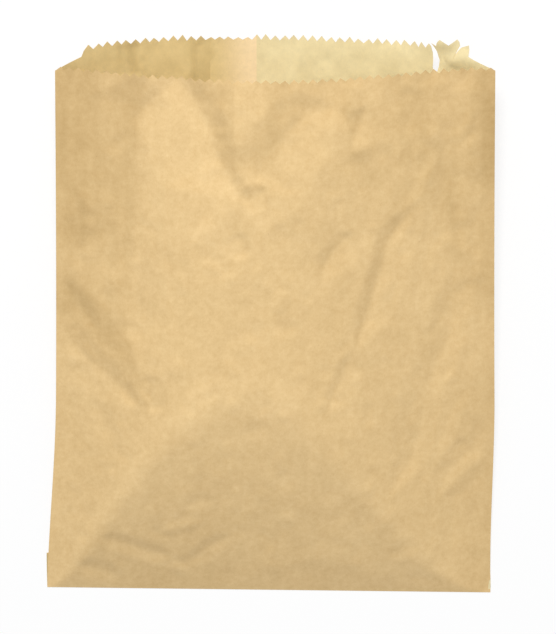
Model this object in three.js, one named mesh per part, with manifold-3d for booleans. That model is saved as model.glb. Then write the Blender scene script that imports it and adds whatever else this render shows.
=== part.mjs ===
// A flat kraft paper bag, slightly puffed open, lying on its back on a table.
// It is one sheet of paper: a tube with a glued lap seam down its back, a saw-toothed mouth whose back stands higher
// than its front, and a bottom that is turned up behind the bag and glued. The back's lip is torn near one corner.
// Millimetres. X runs across the bag, Y from its bottom fold to its mouth and Z up from the table. The origin is on
// the underside, half way up the bag.
import * as THREE from "three";
import { mergeVertices } from "three/addons/utils/BufferGeometryUtils.js";
import Module from "manifold-3d";

// The paper and the flat bag
const paper = 0.1;
const bagWidth = 235;
const frontLength = 293.5;
const lipHeight = 6.9;
const lipCorner = 14;
const lipCornerRise = 4;
const toothPitch = 5;
const toothHeight = 2.9;
const seamLap = 25;
const seamFreeEdge = -10;
const seamRamp = 3;
const flapHeight = 20;
const flapOverhang = 1;
const bottomSlant = 3;
const bottomSkew = 3.4;
const skewLength = 110;
const originFromBottom = 150;

// How far the bag is puffed open
const mouthSideRise = 29.5;
const mouthFrontRise = 12.5;
const mouthSqueeze = 0.045;
const squeezeRate = 1.5;
const crestHeight = 34;
const crestFromBottom = 118;
const crestOffset = -17;
const facetBow = 0.35;
const facetBlend = 2.5;
const leftFullness = 2.65;
const rightFullness = 1.8;
const mouthFullness = 2;
const backCrease = 0.33;
const backCurl = 3.2;

// The tear in the back's lip, measured across from the centre line and down from the roots of the teeth
const tearX = 85;
const tearWidth = 3.6;
const tearTop = 2.7;
const tearDepth = 13.5;
const slitX = 98;
const slitWidth = 1.2;
const slitDepth = 7.5;
const slitLean = 7;

// Grid of the faceted sheet
const rowSpacing = 12;
const columnSpacing = 10;
const arcStep = 2;
const leastGap = 0.3;

const halfWidth = bagWidth / 2;
const toothCount = Math.round(bagWidth / toothPitch);
const roots = Array.from({ length: toothCount + 1 }, (_, i) => -halfWidth + (i * bagWidth) / toothCount);
const seamHiddenEdge = seamFreeEdge - seamLap;
const flapStack = 2 * paper;
const clamp01 = (t) => Math.min(1, Math.max(0, t));
const ease = (t) => clamp01(t) ** 2 * (3 - 2 * clamp01(t));
const mix = (a, b, t) => a + (b - a) * t;

// Folds and dents pressed into the front: each is a ridge (rise above 0) or a valley (rise below 0) along a line,
// falling away over "left" and "right" on its two sides, and highest a share "peak" of the way along.
const creases = [
  { from: [-67, 292], to: [-66, 118], rise: -2.6, left: 30, right: 24, peak: 0.45 },
  { from: [-112, 190], to: [-64, 112], rise: 2.6, left: 34, right: 10, peak: 0.6 },
  { from: [-44, 292], to: [-15, 192], rise: 2.4, left: 34, right: 9, peak: 0.25 },
  { from: [-27, 290], to: [-15, 228], rise: -1.4, left: 7, right: 16, peak: 0.3 },
  { from: [-15, 224], to: [29, 290], rise: -2.0, left: 18, right: 18, peak: 0.5 },
  { from: [31, 286], to: [-13, 196], rise: 1.8, left: 20, right: 20, peak: 0.6 },
  { from: [66, 226], to: [40, 152], rise: -2.0, left: 16, right: 12, peak: 0.5 },
  { from: [84, 290], to: [26, 112], rise: 1.8, left: 14, right: 26, peak: 0.45 },
  { from: [74, 90], to: [54, 58], rise: -1.6, left: 14, right: 16, peak: 0.5 },
  { from: [100, 220], to: [88, 140], rise: 1.6, left: 16, right: 18, peak: 0.5 },
];

// Where the bottom fold lies: it is a little askew, so the right side is longer than the left.
const bottomEdge = (s) => -bottomSlant * (s / bagWidth + 0.5);

// Across the bag: a point's place on the flat sheet, s, against its place in space, which is squeezed a little as
// the bag is puffed, and skewed to one side near the bottom.
const squeeze = (y) =>
  (mouthSqueeze * (1 - Math.exp((-squeezeRate * Math.max(y, 0)) / frontLength))) / (1 - Math.exp(-squeezeRate));
const across = (s, y) => s * (1 - squeeze(y)) - bottomSkew * (1 - ease(y / skewLength));

const sideHeight = (y) => (mouthSideRise * Math.max(y, 0)) / frontLength;
const flapLift = (y) => flapStack * (1 - ease((y - flapHeight) / flapHeight));

// The underside of the back: a triangle lies flat on the table, from the bottom fold to the seam at the mouth, and
// the paper curves up from it to the folds at the sides.
function backHeight(s, y) {
  const reach = clamp01(y / frontLength);
  const flat = s < (seamHiddenEdge + seamFreeEdge) / 2
    ? mix(halfWidth, -seamHiddenEdge, reach)
    : mix(halfWidth, seamFreeEdge, reach);
  const from = s < (seamHiddenEdge + seamFreeEdge) / 2 ? -s : s;
  const q = flat >= halfWidth ? 0 : clamp01((from - flat) / (halfWidth - flat));
  return flapLift(y) + sideHeight(y) * (backCrease * q + (1 - backCrease) * q ** backCurl);
}

// How full the front is, from 0 at the side folds to 1 along its crest.
function fullness(s, y) {
  const reach = ease(y / frontLength);
  const crest = mix(crestOffset, 0, reach);
  const onLeft = s < crest;
  const w = clamp01(onLeft ? (crest - s) / (halfWidth + crest) : (s - crest) / (halfWidth - crest));
  return (1 - w ** mix(onLeft ? leftFullness : rightFullness, mouthFullness, reach)) ** 2;
}

function creaseHeight(s, y) {
  let height = 0;
  for (const { from, to, rise, left, right, peak } of creases) {
    const along = [to[0] - from[0], to[1] - from[1]];
    const length = Math.hypot(...along);
    const t = ((s - from[0]) * along[0] + (y - from[1]) * along[1]) / length ** 2;
    const side = ((y - from[1]) * along[0] - (s - from[0]) * along[1]) / length;
    const end = t < peak ? t / peak : (1 - t) / (1 - peak);
    const spread = side > 0 ? right : left;
    height += rise * Math.max(0, Math.min(1, end * 2) - Math.abs(side) / spread);
  }
  return height * ease((halfWidth - Math.abs(s)) / 25) * ease(y / 40);
}

// The facet that climbs from the bottom fold to the crest, steepest at the fold and running on straight above.
function facetHeight(s, y) {
  const t = (y - bottomEdge(s)) / crestFromBottom;
  return crestHeight * (t + facetBow * (t * (1 - t) + Math.max(t - 1, 0) ** 2));
}

// The upper face of the front, without its creases: the facet, and above it the paper's arch from side to side.
function frontBase(s, y) {
  const climb = facetHeight(s, y);
  const above = ease((y - crestFromBottom) / (frontLength - crestFromBottom));
  const top = mix(crestHeight, mouthSideRise + mouthFrontRise, above);
  const side = sideHeight(y);
  const arch = side + (top - side) * fullness(s, y);
  const blend = Math.min(facetBlend, 0.1 * Math.max(y - bottomEdge(s), 0)) + 1e-9;
  const near = Math.max(blend - Math.abs(climb - arch), 0) / blend;
  return flapLift(y) + 2 * paper + Math.min(climb, arch) - (near * near * blend) / 4;
}

// How far up the bag a sheet of a given length reaches when it follows a height function along one column.
function reachAlong(s, length, height) {
  const bottom = bottomEdge(s);
  let y = bottom;
  let gone = 0;
  while (gone < length) {
    const step = Math.min(arcStep, length - gone);
    const slope = (height(s, y + arcStep) - height(s, y)) / arcStep;
    y += step / Math.hypot(1, slope);
    gone += step;
  }
  return y;
}

// The cut of the mouth: the front is cut straight across, and the back stands higher, with slanted corners.
const cutLength = (s) => frontLength - bottomEdge(s);
function lipRise(s) {
  const fromFold = halfWidth - Math.abs(s);
  return fromFold > lipCorner + leastGap ? lipHeight : (lipCornerRise * fromFold) / lipCorner;
}
const sideLine = (s, y) => flapLift(y) + sideHeight(y);
const isFold = (s) => Math.abs(Math.abs(s) - halfWidth) < 1e-6;
const frontReach = (s) => reachAlong(s, cutLength(s), isFold(s) ? sideLine : frontBase);
const backReach = (s) => reachAlong(s, cutLength(s) + lipRise(s), isFold(s) ? sideLine : backHeight);

// One face of a panel. "top" gives how far up a column reaches, and "point" the place of a vertex.
const panels = {
  front: { top: frontReach, toothed: () => true },
  back: { top: backReach, toothed: (a, b) => Math.max(Math.abs(a), Math.abs(b)) <= halfWidth - lipCorner + 1e-6 },
};

function outerPoint(panel, s, y) {
  const height = panel === "front" ? frontBase(s, y) + creaseHeight(s, y) : backHeight(s, y);
  return [across(s, y), y, height];
}

// The inner face lies a paper's thickness inside, and the back's is a ply higher where the seam overlaps.
function innerPoint(panel, s, y, freeSide) {
  const inset = 1 - (2 * paper) / bagWidth;
  if (panel === "front") return [across(s * inset, y), y, frontBase(s, y) + creaseHeight(s, y) - paper];
  const ramp = clamp01((s - seamHiddenEdge + seamRamp) / seamRamp);
  const lapped = s < seamFreeEdge || (s === seamFreeEdge && !freeSide) ? ramp : 0;
  return [across(s * inset, y), y, backHeight(s, y) + paper + paper * lapped];
}

// A point inside a fold, where the inner faces of the front and the back meet.
function foldPoint(s, y) {
  const inset = 1 - (2 * paper) / bagWidth;
  return [across(s * inset, y), y, (isFold(s) ? sideLine(s, y) : backHeight(s, y)) + paper];
}

// The columns of the grid: every tooth root near the mouth, fewer of them below, and the edges of the seam.
function columns(fine) {
  const seamEdges = [seamHiddenEdge - seamRamp, seamHiddenEdge, seamFreeEdge];
  const special = [...seamEdges, -halfWidth + lipCorner, halfWidth - lipCorner];
  const skip = Math.max(1, Math.round(columnSpacing / toothPitch));
  const plain = roots.filter((s, i) => fine || i % skip === 0 || i === toothCount);
  const apart = (s) => special.every((x) => Math.abs(x - s) > leastGap);
  return [...plain.filter(apart), ...special.filter((x) => Math.abs(x) < halfWidth)].sort((a, b) => a - b);
}

// A list of vertices and triangles that grows into one closed surface.
class Surface {
  constructor() {
    this.points = [];
    this.faces = [];
  }
  add(point) {
    this.points.push(...point);
    return this.points.length / 3 - 1;
  }
  face(a, b, c, flip) {
    this.faces.push(...(flip ? [a, c, b] : [a, b, c]));
  }
  // Fills the strip between two rows of vertices, each { id, s } and in order of s.
  strip(low, high, flip) {
    let i = 0;
    let j = 0;
    while (i < low.length - 1 || j < high.length - 1) {
      const lowNext = i < low.length - 1 ? low[i + 1].s : Infinity;
      const highNext = j < high.length - 1 ? high[j + 1].s : Infinity;
      if (lowNext <= highNext) {
        this.face(low[i].id, low[i + 1].id, high[j].id, flip);
        i += 1;
      } else {
        this.face(low[i].id, high[j + 1].id, high[j].id, flip);
        j += 1;
      }
    }
  }
  solid(wasm) {
    return closedSolid(wasm, new Float32Array(this.points), new Uint32Array(this.faces));
  }
}

function closedSolid(wasm, vertProperties, triVerts) {
  return new wasm.Manifold(new wasm.Mesh({ numProp: 3, vertProperties, triVerts }));
}

// How far up the bag each row of the grid lies: close together over the turn-up, then evenly to the mouth.
const flapRows = 2;
const lowRows = 2 * flapRows;
const rowCount = lowRows + Math.round((frontLength - 2 * flapHeight) / rowSpacing);
function rowPlace(s, r, reach) {
  const bottom = bottomEdge(s);
  if (r <= lowRows) return bottom + (r * flapHeight) / flapRows;
  return mix(bottom + 2 * flapHeight, reach, (r - lowRows) / (rowCount - lowRows));
}

// The sheet itself: outer and inner faces of the front and the back, joined round the mouth, the sides and the
// bottom. The inner faces meet along the side folds and along the bottom fold.
function bagSheet(wasm) {
  const surface = new Surface();
  const shared = new Map();
  const faces = {};
  for (const panel of ["front", "back"]) {
    const { top, toothed } = panels[panel];
    const reaches = new Map(columns(true).map((s) => [s, top(s)]));
    for (const face of ["outer", "inner"]) {
      const outside = face === "outer";
      const flip = (panel === "front") !== outside;
      const place = (s, y, free) => (outside ? outerPoint(panel, s, y) : innerPoint(panel, s, y, free));
      const vertex = (s, r, free) => {
        const inFold = !outside && (isFold(s) || r === 0);
        const y = rowPlace(s, r, reaches.get(s)) + (inFold && r === 0 ? paper : 0);
        if (!inFold) return surface.add(place(s, y, free));
        const key = `${s} ${r}`;
        if (!shared.has(key)) shared.set(key, surface.add(foldPoint(s, y)));
        return shared.get(key);
      };
      const rows = [];
      for (let r = 0; r <= rowCount; r += 1) {
        const row = [];
        for (const s of columns(r >= rowCount - 1)) {
          row.push({ s, id: vertex(s, r, false) });
          if (panel === "back" && !outside && r > 0 && s === seamFreeEdge)
            row.push({ s, id: vertex(s, r, true), free: true });
        }
        rows.push(row);
      }
      for (let r = 0; r < rowCount; r += 1) surface.strip(rows[r], rows[r + 1], flip);
      const tip = (s) => place(s, top(s) + toothHeight, s > seamFreeEdge);
      faces[panel + face] = { rows, rim: teeth(surface, rows[rowCount], toothed, flip, tip) };
    }
    surface.strip(faces[panel + "outer"].rim, faces[panel + "inner"].rim, panel === "back");
  }
  const front = faces.frontouter.rows;
  const back = faces.backouter.rows;
  const inner = faces.backinner.rows;
  const edge = (rows, side) => rows.map((row, r) => ({ s: r, id: row.at(side).id }));
  surface.strip(back[0], front[0], false);
  surface.strip(edge(front, 0), edge(back, 0), false);
  surface.strip(edge(back, -1), edge(front, -1), false);
  const corner = (side) => [front, inner, back].map((rows) => rows[rowCount].at(side).id);
  surface.face(...corner(0), false);
  surface.face(...corner(-1), true);
  return surface.solid(wasm);
}

// Adds the teeth above the top row of a face, and gives back the rim: the top row with its teeth's tips.
function teeth(surface, row, toothed, flip, tipAt) {
  const rim = [];
  for (let i = 0; i < toothCount; i += 1) {
    const from = roots[i] - leastGap;
    const to = roots[i + 1] + leastGap;
    const base = row.filter(({ s, free }) => s > from && s < to && !(free && s > to - 2 * leastGap));
    if (toothed(roots[i], roots[i + 1])) {
      const s = (roots[i] + roots[i + 1]) / 2;
      const tip = { s, id: surface.add(tipAt(s)) };
      for (let k = 0; k < base.length - 1; k += 1) surface.face(base[k].id, base[k + 1].id, tip.id, flip);
      rim.push(base[0], tip);
    } else {
      rim.push(...base.slice(0, -1));
    }
    if (i === toothCount - 1) rim.push(base.at(-1));
  }
  return rim;
}

// A flat plate with the given outline, from one height to another.
function plate(wasm, outline, low, high) {
  const shape = new THREE.Shape(outline.map(([x, y]) => new THREE.Vector2(x, y)));
  const bare = new THREE.ExtrudeGeometry(shape, { depth: high - low, bevelEnabled: false });
  bare.deleteAttribute("normal");
  bare.deleteAttribute("uv");
  const merged = mergeVertices(bare.translate(0, 0, low), 1e-3);
  return closedSolid(wasm, merged.attributes.position.array, new Uint32Array(merged.index.array));
}

// The bottom of the tube, turned up behind the back and glued: two plies that follow the back, a little wider than
// it on the left. Their upper face lies within the back's own thickness.
function turnUp(wasm) {
  const surface = new Surface();
  const rows = { low: [], high: [] };
  for (let r = 0; r <= flapRows; r += 1) {
    for (const [level, offset] of [["low", -flapStack], ["high", paper / 2]]) {
      rows[level].push(
        columns(false).map((s) => {
          const y = rowPlace(s, r, 0) + (r === 0 ? paper / 2 : 0);
          const side = s < 0 ? -(flapOverhang * r) / flapRows : 0;
          const out = isFold(s) ? side - Math.sign(s) * paper : 0;
          return { s, id: surface.add([across(s, y) + out, y, backHeight(s, y) + offset]) };
        }),
      );
    }
  }
  for (let r = 0; r < flapRows; r += 1) {
    surface.strip(rows.low[r], rows.low[r + 1], true);
    surface.strip(rows.high[r], rows.high[r + 1], false);
  }
  surface.strip(rows.low[0], rows.high[0], false);
  surface.strip(rows.low[flapRows], rows.high[flapRows], true);
  const edge = (level, side) => rows[level].map((row, r) => ({ s: r, id: row.at(side).id }));
  surface.strip(edge("high", 0), edge("low", 0), false);
  surface.strip(edge("low", -1), edge("high", -1), false);
  return surface.solid(wasm);
}

// What is torn out of the back's lip: a curved gap that opens below the teeth, and a slit that runs in from the edge.
function tears(wasm) {
  const root = backReach(tearX);
  const x = across(tearX, root);
  const gap = [
    [x - tearWidth / 2, root - tearTop],
    [x + tearWidth * 0.3, root - tearTop - 0.35 * tearDepth],
    [x + tearWidth, root - tearTop - 0.6 * tearDepth],
    [x + tearWidth / 2, root - tearDepth],
    [x - tearWidth / 2, root - tearDepth],
    [x - tearWidth / 4, root - 0.6 * tearDepth],
  ];
  const slitRoot = backReach(slitX);
  const sx = across(slitX, slitRoot);
  const slit = [
    [sx, slitRoot + 2 * toothHeight],
    [sx - slitLean, slitRoot - slitDepth],
    [sx - slitLean + slitWidth / 2, slitRoot - slitDepth],
    [sx + slitWidth, slitRoot + 2 * toothHeight],
  ];
  const between = (s, y) => (backHeight(s, y) + frontBase(s, y)) / 2;
  return [
    plate(wasm, gap, -1, between(tearX, root - tearDepth)),
    plate(wasm, slit, -1, between(slitX, slitRoot - slitDepth)),
  ];
}

function geometryOf(solid) {
  const mesh = solid.getMesh();
  const positions = new Float32Array(mesh.numVert * 3);
  for (let i = 0; i < mesh.numVert; i += 1)
    positions.set(mesh.vertProperties.subarray(i * mesh.numProp, i * mesh.numProp + 3), i * 3);
  const geometry = new THREE.BufferGeometry();
  geometry.setAttribute("position", new THREE.BufferAttribute(positions, 3));
  geometry.setIndex(new THREE.BufferAttribute(mesh.triVerts, 1));
  geometry.computeVertexNormals();
  return geometry;
}

const wasm = await Module();
wasm.setup();

let solid = bagSheet(wasm).add(turnUp(wasm));
for (const tear of tears(wasm)) solid = solid.subtract(tear);

const kraft = new THREE.MeshStandardMaterial({ color: 0xdcbc84, roughness: 0.85, metalness: 0 });
const bag = new THREE.Mesh(geometryOf(solid), kraft);
bag.name = "paper_bag";
bag.position.y = -originFromBottom;

const group = new THREE.Group();
group.add(bag);
export default group;
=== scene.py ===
"""A flat kraft paper bag, slightly puffed open, lying on its back on a white table.

The bag is one sheet of paper: a tube with a lap seam down its back, a turned-up bottom and a saw-toothed
mouth. Its shape is worked out from the same dimensions as the CAD solid, and the creases that the paper has
picked up in use are then pressed into it one by one. A crease's points are given where the photograph shows
them, in its pixels, and on_sheet() turns them into places on the paper.

Lengths on the paper are in millimetres. s runs across the flat sheet from the centre line, y from the bottom
fold to the mouth, and z up from the table. The finished mesh is in metres, in the frame of the CAD.
"""

import math

import bpy
import numpy as np
from mathutils import Matrix, Vector


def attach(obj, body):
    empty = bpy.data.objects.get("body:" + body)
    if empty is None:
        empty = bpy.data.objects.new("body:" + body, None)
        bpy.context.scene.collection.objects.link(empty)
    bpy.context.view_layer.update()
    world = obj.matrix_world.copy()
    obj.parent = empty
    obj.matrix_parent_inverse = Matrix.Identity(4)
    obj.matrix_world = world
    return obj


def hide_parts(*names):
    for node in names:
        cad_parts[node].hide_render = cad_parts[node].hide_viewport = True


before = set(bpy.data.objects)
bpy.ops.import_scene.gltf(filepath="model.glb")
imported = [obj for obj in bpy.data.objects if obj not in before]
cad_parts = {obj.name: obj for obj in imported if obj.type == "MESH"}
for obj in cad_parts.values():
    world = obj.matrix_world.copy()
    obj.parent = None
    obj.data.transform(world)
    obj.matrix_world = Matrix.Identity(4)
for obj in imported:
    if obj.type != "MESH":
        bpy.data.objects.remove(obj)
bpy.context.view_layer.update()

MM = 0.001
SEED = 47

# The paper and the flat bag
PAPER = 0.1
BAG_WIDTH = 235.0
FRONT_LENGTH = 293.5
LIP_HEIGHT = 6.9
LIP_CORNER = 14.0
LIP_CORNER_RISE = 4.0
LEAST_GAP = 0.3
TOOTH_COUNT = 47
TOOTH_HEIGHT = 2.9
SEAM_LAP = 25.0
SEAM_FREE_EDGE = -10.0
FLAP_HEIGHT = 20.0
FLAP_OVERHANG = 1.0
BOTTOM_SLANT = 3.0
BOTTOM_SKEW = 3.4
SKEW_LENGTH = 110.0
ORIGIN_FROM_BOTTOM = 150.0

# How far the bag is puffed open
MOUTH_SIDE_RISE = 29.5
MOUTH_FRONT_RISE = 12.5
MOUTH_SQUEEZE = 0.045
SQUEEZE_RATE = 1.5
CREST_HEIGHT = 34.0
CREST_FROM_BOTTOM = 118.0
CREST_OFFSET = -17.0
FACET_BOW = 0.35
FACET_BLEND = 2.5
FACET_BLEND_RATE = 0.1
LEFT_FULLNESS = 2.65
RIGHT_FULLNESS = 1.8
MOUTH_FULLNESS = 2.0
BACK_CREASE = 0.33
BACK_CURL = 3.2

# The mesh
STEPS_PER_TOOTH = 4
FRONT_ROWS = 170
BACK_ROWS = 20
FINE_BACK_ROWS = 24
FINE_BACK_ZONE = 26.0
TOOTH_ROWS = 6
TOOTH_ZONE = 6.0
ARC_STEP = 1.0
CREASE_ROUND = 0.6
FLAP_ROWS = 8

# The camera looks down on the bag from its mouth side. The bag's origin lies at PHOTO_CENTRE in the frame of
# the photograph, in pixels. A pixel's line of sight is followed down to the paper in SIGHT_STEPS steps. The
# clip end is in metres.
TILT = math.radians(18)
CAMERA_DISTANCE = 3000.0
PIXELS_PER_MM = 1.915
PHOTO_SIZE = (556, 634)
PHOTO_CENTRE = (275.25, 317.8)
SENSOR = 36.0
CAMERA_CLIP_END = 20.0
SIGHT_STEPS = 8

# Wear along the mouth
WORN_TEETH = (16, 20)
WORN_SHARE = 0.55
FRONT_TOOTH_WEAR = 0.72
TOOTH_SHARES = (0.8, 1.12)
TOOTH_LEAN = 0.28
TOOTH_BEND = 0.5
TOOTH_ROOT = 0.14
TOOTH_CURL = 0.8
TOOTH_CURL_MARGIN = 6.0
FRAGMENT_LENGTH = 9.0
FRAGMENT_LIFT = 1.2
FRAGMENT_BUCKLE = 0.8
FRAGMENT_SHIFT = 2.4
FRAGMENT_REACH = 7.0
FRAGMENT_WAVES = 3
FRAGMENT_PHASE = 0.7
FRAGMENT_SPREAD = (0.7, 1.5)

# The small creases: where their middles lie and how far they run, in the photograph's pixels, the degrees
# they lean, and how high and wide they are in millimetres
SMALL_CREASES = 240
SMALL_CREASE_COLUMNS = (66, 484)
SMALL_CREASE_ROWS = (90, 575)
SMALL_CREASE_HALF = (4, 16)
SMALL_CREASE_BEND = 2.0
STEEPER_FROM_COLUMN = 300
LEFT_LEAN = 78
RIGHT_LEAN = 100
LEAN_SPREAD = 28
SMALL_CREASE_RISE = (0.1, 0.34)
SMALL_CREASE_SPREAD = (2, 5.5)

# The unevenness of the paper, of its tones and of the facets' painted light and shade, as layers of noise:
# (strength, size across, size along)
RAGGED_EDGE = ((1.3, 7, 9), (0.6, 3, 4))
UNEVEN_PAINTED_LIGHT = ((0.2, 8, 16), (0.35, 3.4, 45))
MOTTLE = ((0.02, 5, 7), (0.015, 2.6, 3.4))
INSIDE_MOTTLE = ((0.05, 9, 7), (0.035, 4, 4))
WAVES = ((0.35, 34, 46), (0.2, 15, 22), (0.12, 6, 9))
RIPPLES = ((1.0, 5.5, 60), (0.6, 3.2, 38))
RIPPLE_HEIGHT = 0.24
RIPPLE_SHARE = 0.2
BACK_UNEVEN_SHARE = 0.6

# How deep the back's dents may go, as a share of its height there above the table
DEEPEST_DENT = 0.95

# Where these begin, and the length over which they grow to their full height
LEFT_RIPPLES_OUT = (62, 18)
LEFT_RIPPLES_UP = (120, 60)
RIGHT_RIPPLES_OUT = (55, 30)
RIGHT_RIPPLE_SHARE = 0.5
BACK_CREASES_UP = (190, 60)
SEAM_LIFT_UP = (250, 50)

# How far from the side folds and the bottom fold the creases reach their full height
SIDE_MARGIN = 12
BOTTOM_MARGIN = 18

# The inner ply of the seam, in thicknesses of the paper
SEAM_LIFT = 2
SEAM_EDGE_LIFT = 0.4
SEAM_PLY = 0.95

SHARP_FOLD = math.radians(50)
# The mesh attribute that carries the facets' painted light and shade, and a random mottle
SHADE = "shade"

# Colours and light. The table's half width and the lamp's distance and size are in metres.
KRAFT_DARK = (0.64, 0.435, 0.195)
KRAFT_LIGHT = (0.81, 0.59, 0.30)
# The inside's colours are painted light and shade: painted shade on the left, the seam's doubled paper in the
# middle, and painted light shining through the single ply on the right
INNER_SHADED = (0.67, 0.505, 0.232)
INNER_LAPPED_PAINTED_LIGHT = (0.85, 0.655, 0.385)
INNER_PAINTED_LIGHT = (0.765, 0.645, 0.365)
INNER_TONES = (0.88, 1.06)
SEAM_SEEN_AT = 290.0
SEAM_EDGE_BLUR = 0.6
# The painted light and shade change green by 1.12 and blue by 1.4 times as much as red
SHADE_TINT = (1.0, 1.12, 1.4)
TONE_RANGE = (0.3, 0.7)
SPECK_LEVEL = 0.77
SPECK_SHARE = 0.22
SPECK_COLOUR = (0.4, 0.25, 0.12)
ROUGHNESS = 0.7
ROUGHNESS_SPREAD = 0.12
SPECULAR = 0.25
BUMP_STRENGTH = 0.3
BUMP_DEPTH = 0.1
TABLE_COLOUR = (0.9, 0.9, 0.9)
TABLE_ROUGHNESS = 0.9
TABLE_HALF = 6.0
TABLE_GAP = 0.05
WHITE_SHARE = 0.8
ROOM_LIGHT = 0.42
ROOM_COLOUR = (0.97, 0.98, 1.0)
KEY_DIRECTION = (-0.05, 0.64, 0.77)
KEY_DISTANCE = 2.6
KEY_SIZE = 0.7
KEY_POWER = 62.0

HALF_WIDTH = BAG_WIDTH / 2
SEAM_HIDDEN_EDGE = SEAM_FREE_EDGE - SEAM_LAP
FLAP_STACK = 2 * PAPER


def clamp01(t):
    return np.clip(t, 0.0, 1.0)


def ease(t):
    return clamp01(t) ** 2 * (3 - 2 * clamp01(t))


def mix(a, b, t):
    return a + (b - a) * t


def grows(value, zone):
    """0 below the start of a zone, given as (start, length), and 1 beyond its end."""
    start, length = zone
    return ease((value - start) / length)


# The shape of the puffed bag, the same as the CAD solid's


def bottom_edge(s):
    return -BOTTOM_SLANT * (s / BAG_WIDTH + 0.5)


def across(s, y):
    squeeze = MOUTH_SQUEEZE * (1 - np.exp(-SQUEEZE_RATE * np.maximum(y, 0) / FRONT_LENGTH))
    squeeze /= 1 - math.exp(-SQUEEZE_RATE)
    return s * (1 - squeeze) - BOTTOM_SKEW * (1 - ease(y / SKEW_LENGTH))


def side_height(y):
    return MOUTH_SIDE_RISE * np.maximum(y, 0) / FRONT_LENGTH


def flap_lift(y):
    return FLAP_STACK * (1 - ease((y - FLAP_HEIGHT) / FLAP_HEIGHT))


def back_height(s, y):
    """The underside of the back: a flat triangle on the table, with the paper curling up to the sides."""
    reach = clamp01(y / FRONT_LENGTH)
    on_left = s < (SEAM_HIDDEN_EDGE + SEAM_FREE_EDGE) / 2
    flat = mix(HALF_WIDTH, np.where(on_left, -SEAM_HIDDEN_EDGE, SEAM_FREE_EDGE), reach)
    out = np.where(on_left, -s, s)
    q = np.where(flat >= HALF_WIDTH, 0, clamp01((out - flat) / np.maximum(HALF_WIDTH - flat, 1e-6)))
    return flap_lift(y) + side_height(y) * (BACK_CREASE * q + (1 - BACK_CREASE) * q**BACK_CURL)


def fullness(s, y):
    reach = ease(y / FRONT_LENGTH)
    crest = mix(CREST_OFFSET, 0, reach)
    on_left = s < crest
    w = clamp01(np.where(on_left, (crest - s) / (HALF_WIDTH + crest), (s - crest) / (HALF_WIDTH - crest)))
    return (1 - w ** mix(np.where(on_left, LEFT_FULLNESS, RIGHT_FULLNESS), MOUTH_FULLNESS, reach)) ** 2


def facet_height(s, y):
    """The facet that climbs from the bottom fold to the crest, steepest at the fold."""
    t = (y - bottom_edge(s)) / CREST_FROM_BOTTOM
    return CREST_HEIGHT * (t + FACET_BOW * (t * (1 - t) + np.maximum(t - 1, 0) ** 2))


def front_height(s, y):
    """The upper face of the front, without its creases."""
    climb = facet_height(s, y)
    above = ease((y - CREST_FROM_BOTTOM) / (FRONT_LENGTH - CREST_FROM_BOTTOM))
    top = mix(CREST_HEIGHT, MOUTH_SIDE_RISE + MOUTH_FRONT_RISE, above)
    side = side_height(y)
    arch = side + (top - side) * fullness(s, y)
    blend = np.minimum(FACET_BLEND, FACET_BLEND_RATE * np.maximum(y - bottom_edge(s), 0)) + 1e-9
    near = np.maximum(blend - np.abs(climb - arch), 0) / blend
    return flap_lift(y) + 2 * PAPER + np.minimum(climb, arch) - near**2 * blend / 4


def reach_along(s, length, height):
    """How far up the bag a sheet of that length reaches when it follows a height function in each column."""
    y = bottom_edge(s)
    gone = np.zeros_like(s)
    while (gone < length - 1e-9).any():
        step = np.minimum(ARC_STEP, length - gone)
        slope = (height(s, y + ARC_STEP) - height(s, y)) / ARC_STEP
        y = y + step / np.hypot(1, slope)
        gone = gone + step
    return y


def lip_rise(s):
    from_fold = HALF_WIDTH - np.abs(s)
    return np.where(from_fold > LIP_CORNER + LEAST_GAP, LIP_HEIGHT, LIP_CORNER_RISE * from_fold / LIP_CORNER)


def front_reach(s):
    return reach_along(s, FRONT_LENGTH - bottom_edge(s), front_height)


def back_reach(s):
    return reach_along(s, FRONT_LENGTH - bottom_edge(s) + lip_rise(s), back_height)


# The camera, and where a pixel of the photograph lies on the paper


def on_sheet(pixels, height):
    """(s, y) of the photograph's pixels on a sheet with that height function."""
    px, py = np.asarray(pixels, float).T
    s = np.zeros_like(px)
    y = np.full_like(px, ORIGIN_FROM_BOTTOM)
    for _ in range(SIGHT_STEPS):
        z = height(s, y)
        forward = (y - ORIGIN_FROM_BOTTOM) * math.sin(TILT) + z * math.cos(TILT)
        scale = (CAMERA_DISTANCE - forward) / (PIXELS_PER_MM * CAMERA_DISTANCE)
        x = (px - PHOTO_CENTRE[0]) * scale
        up = (PHOTO_CENTRE[1] - py) * scale
        y = ORIGIN_FROM_BOTTOM + (up + z * math.sin(TILT)) / math.cos(TILT)
        shift = across(0.0, y)
        s = (x - shift) / (across(1.0, y) - shift)
    return np.stack([s, y], 1)


def add_camera():
    camera = bpy.data.objects.new("camera", bpy.data.cameras.new("camera"))
    bpy.context.scene.collection.objects.link(camera)
    camera.data.sensor_width = SENSOR
    camera.data.lens = PIXELS_PER_MM * CAMERA_DISTANCE * SENSOR / max(PHOTO_SIZE)
    back = Vector((0, math.sin(TILT), math.cos(TILT)))
    up = Vector((0, math.cos(TILT), -math.sin(TILT)))
    right = up.cross(back)
    aside = (PHOTO_SIZE[0] / 2 - PHOTO_CENTRE[0]) / PIXELS_PER_MM * MM
    above = (PHOTO_CENTRE[1] - PHOTO_SIZE[1] / 2) / PIXELS_PER_MM * MM
    place = back * CAMERA_DISTANCE * MM + right * aside + up * above
    camera.matrix_world = Matrix.Translation(place) @ Matrix((right, up, back)).transposed().to_4x4()
    camera.data.clip_end = CAMERA_CLIP_END
    bpy.context.scene.camera = camera


# Creases. Each is a ridge (rise above 0) or a valley (below 0) along a line of points. The paper falls away
# from it evenly over "left" and "right" millimetres, as seen when walking from its first point to its last.


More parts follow.
